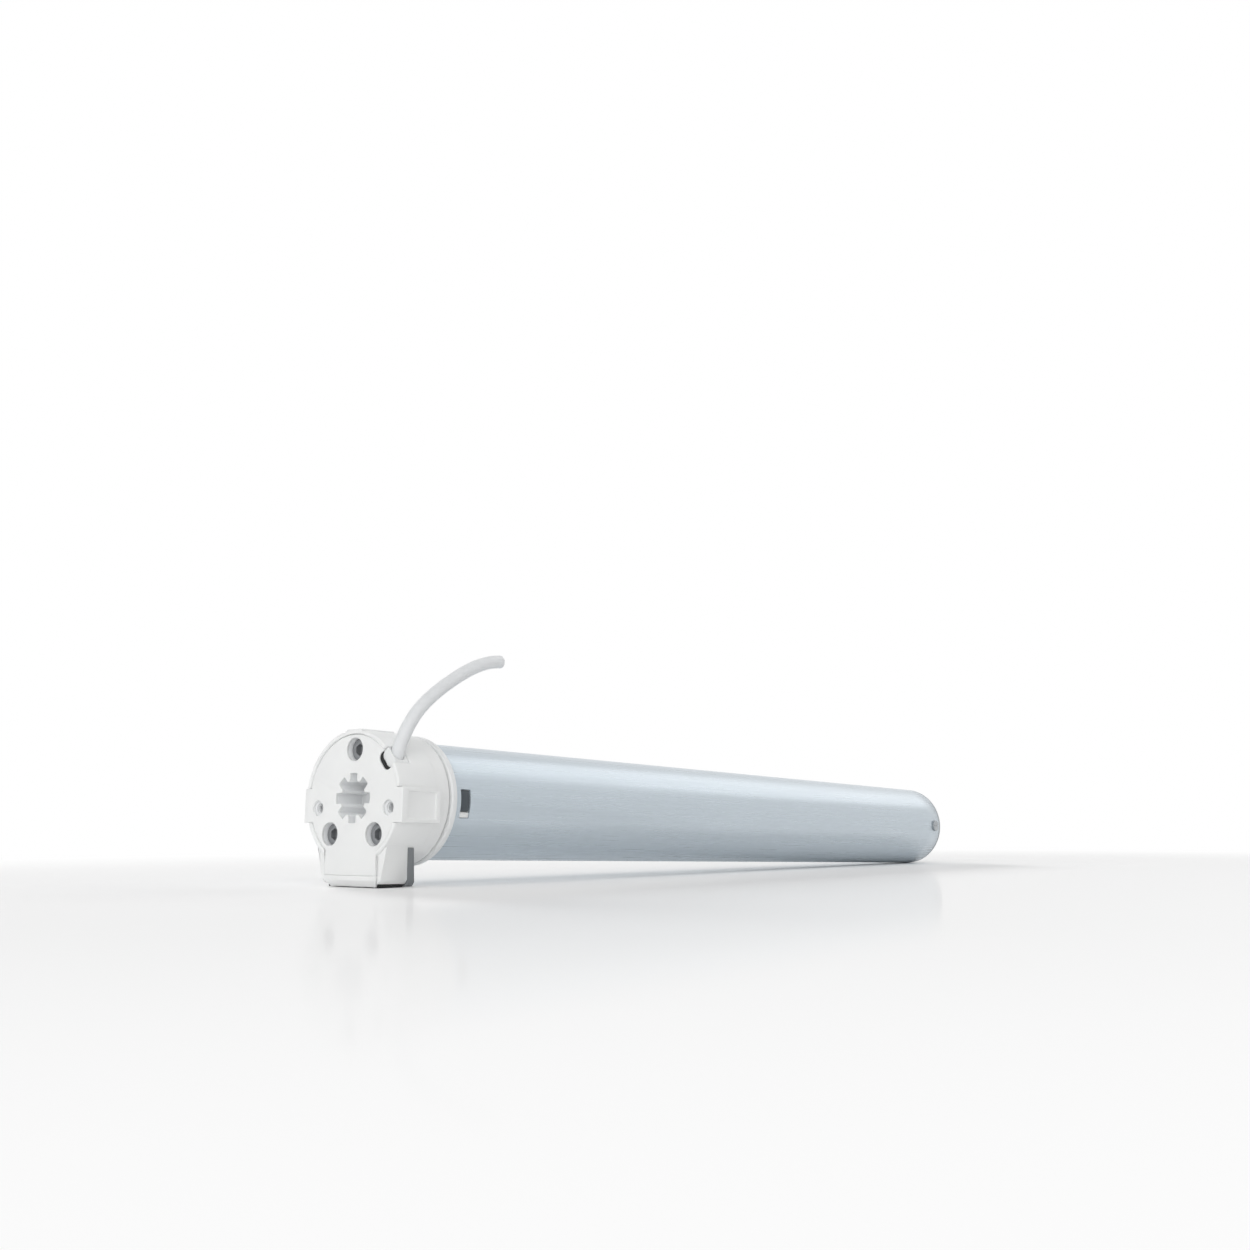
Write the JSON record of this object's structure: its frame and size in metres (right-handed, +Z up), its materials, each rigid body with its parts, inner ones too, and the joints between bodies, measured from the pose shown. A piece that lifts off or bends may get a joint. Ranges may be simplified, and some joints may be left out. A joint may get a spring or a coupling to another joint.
{
  "type": "tubular roller blind motor",
  "caption": "Long steel-tube motor for a roller blind: white head with a star socket, foot and short cable, planetary gear inside, turning output shaft at the far end.",
  "frame": {"origin": "centre of the star socket on the head's front face", "axes": "+X along the tube from the head to the output shaft, +Z up, away from the foot; the cable is on the -Y side"},
  "size_m": [0.6064, 0.0668, 0.1143],
  "materials": {
    "white_plastic": "satin moulded",
    "cable_sheath": "satin sheath",
    "die_cast": "as cast",
    "grey_plastic": "matte moulded",
    "black_plastic": "matte moulded",
    "tube_steel": "zinc plated, satin",
    "steel": "machined",
    "dark_steel": "blackened",
    "circuit_board": "solder mask",
    "winding": "enamelled copper",
    "bronze": "sintered"
  },
  "bodies": {
    "motor": {"head_cover": "white_plastic", "head_core": "die_cast", "head_body": "white_plastic", "foot_cap": "white_plastic", "foot_back_plate": "grey_plastic", "foot_screws": "dark_steel", "head_screws": "dark_steel", "cable_plug": "white_plastic", "cable": "cable_sheath", "motor_tube": "tube_steel", "tube_latches": "dark_steel", "electronics_carrier": "black_plastic", "control_board": "circuit_board", "relays": "black_plastic", "transformer": "winding", "radio_module": "circuit_board", "terminal_block": "grey_plastic", "capacitor": "white_plastic", "front_shield": "die_cast", "encoder_board": "circuit_board", "bearing_outers": "steel", "stator_core": "steel", "stator_windings": "winding", "rear_shield": "die_cast", "brake_magnet": "dark_steel", "gear_plate": "die_cast", "ring_gear": "steel", "output_bushes": "bronze", "drive_end_cap": "die_cast", "cap_screws": "dark_steel"},
    "crown": {"crown_ring": "white_plastic"},
    "output": {"output_carrier": "steel", "pins_3": "steel", "output_shaft": "steel", "shaft_clip": "dark_steel"},
    "stage_2": {"carrier_2": "steel", "pins_2": "steel", "sun_3": "steel"},
    "stage_1": {"carrier_1": "steel", "pins_1": "steel", "sun_2": "steel"},
    "rotor": {"rotor_core": "steel", "rotor_shaft": "steel", "sun_1": "steel", "bearing_inners": "steel", "brake_disc": "dark_steel", "encoder_magnet": "dark_steel"},
    "brake": {"brake_armature": "steel"},
    "planet_1a": {"planet_1a": "steel"},
    "planet_1b": {"planet_1b": "steel"},
    "planet_1c": {"planet_1c": "steel"},
    "planet_2a": {"planet_2a": "steel"},
    "planet_2b": {"planet_2b": "steel"},
    "planet_2c": {"planet_2c": "steel"},
    "planet_3a": {"planet_3a": "steel"},
    "planet_3b": {"planet_3b": "steel"},
    "planet_3c": {"planet_3c": "steel"}
  },
  "joints": [
    {"name": "output_spin", "type": "hinge", "parent": "motor", "child": "output", "pos_m": [0.55, 0, 0], "axis": [1, 0, 0], "continuous": true},
    {"name": "crown_spin", "type": "hinge", "parent": "motor", "child": "crown", "pos_m": [0.0362, 0, 0], "axis": [1, 0, 0], "continuous": true},
    {"name": "stage_2_spin", "type": "hinge", "parent": "motor", "child": "stage_2", "pos_m": [0.48, 0, 0], "axis": [1, 0, 0], "continuous": true},
    {"name": "stage_1_spin", "type": "hinge", "parent": "motor", "child": "stage_1", "pos_m": [0.46, 0, 0], "axis": [1, 0, 0], "continuous": true},
    {"name": "rotor_spin", "type": "hinge", "parent": "motor", "child": "rotor", "pos_m": [0.35, 0, 0], "axis": [1, 0, 0], "continuous": true},
    {"name": "brake_slide", "type": "slide", "parent": "motor", "child": "brake", "axis": [1, 0, 0], "range_m": [0, 0.0006], "stiffness_N_per_m": 300, "springref_m": -0.001},
    {"name": "planet_1a_spin", "type": "hinge", "parent": "stage_1", "child": "planet_1a", "pos_m": [0.455, 0, 0.01488], "axis": [1, 0, 0], "continuous": true},
    {"name": "planet_1b_spin", "type": "hinge", "parent": "stage_1", "child": "planet_1b", "pos_m": [0.455, -0.01289, -0.00744], "axis": [1, 0, 0], "continuous": true},
    {"name": "planet_1c_spin", "type": "hinge", "parent": "stage_1", "child": "planet_1c", "pos_m": [0.455, 0.01289, -0.00744], "axis": [1, 0, 0], "continuous": true},
    {"name": "planet_2a_spin", "type": "hinge", "parent": "stage_2", "child": "planet_2a", "pos_m": [0.474, 0, 0.01488], "axis": [1, 0, 0], "continuous": true},
    {"name": "planet_2b_spin", "type": "hinge", "parent": "stage_2", "child": "planet_2b", "pos_m": [0.474, -0.01289, -0.00744], "axis": [1, 0, 0], "continuous": true},
    {"name": "planet_2c_spin", "type": "hinge", "parent": "stage_2", "child": "planet_2c", "pos_m": [0.474, 0.01289, -0.00744], "axis": [1, 0, 0], "continuous": true},
    {"name": "planet_3a_spin", "type": "hinge", "parent": "output", "child": "planet_3a", "pos_m": [0.496, 0, 0.01488], "axis": [1, 0, 0], "continuous": true},
    {"name": "planet_3b_spin", "type": "hinge", "parent": "output", "child": "planet_3b", "pos_m": [0.496, -0.01289, -0.00744], "axis": [1, 0, 0], "continuous": true},
    {"name": "planet_3c_spin", "type": "hinge", "parent": "output", "child": "planet_3c", "pos_m": [0.496, 0.01289, -0.00744], "axis": [1, 0, 0], "continuous": true}
  ],
  "couplings": [
    {"joint": "stage_2_spin", "follows": "output_spin", "ratio": 5},
    {"joint": "stage_1_spin", "follows": "output_spin", "ratio": 25},
    {"joint": "rotor_spin", "follows": "output_spin", "ratio": 125},
    {"joint": "planet_1a_spin", "follows": "output_spin", "ratio": -66.667},
    {"joint": "planet_1b_spin", "follows": "output_spin", "ratio": -66.667},
    {"joint": "planet_1c_spin", "follows": "output_spin", "ratio": -66.667},
    {"joint": "planet_2a_spin", "follows": "output_spin", "ratio": -13.333},
    {"joint": "planet_2b_spin", "follows": "output_spin", "ratio": -13.333},
    {"joint": "planet_2c_spin", "follows": "output_spin", "ratio": -13.333},
    {"joint": "planet_3a_spin", "follows": "output_spin", "ratio": -2.6667},
    {"joint": "planet_3b_spin", "follows": "output_spin", "ratio": -2.6667},
    {"joint": "planet_3c_spin", "follows": "output_spin", "ratio": -2.6667}
  ]
}
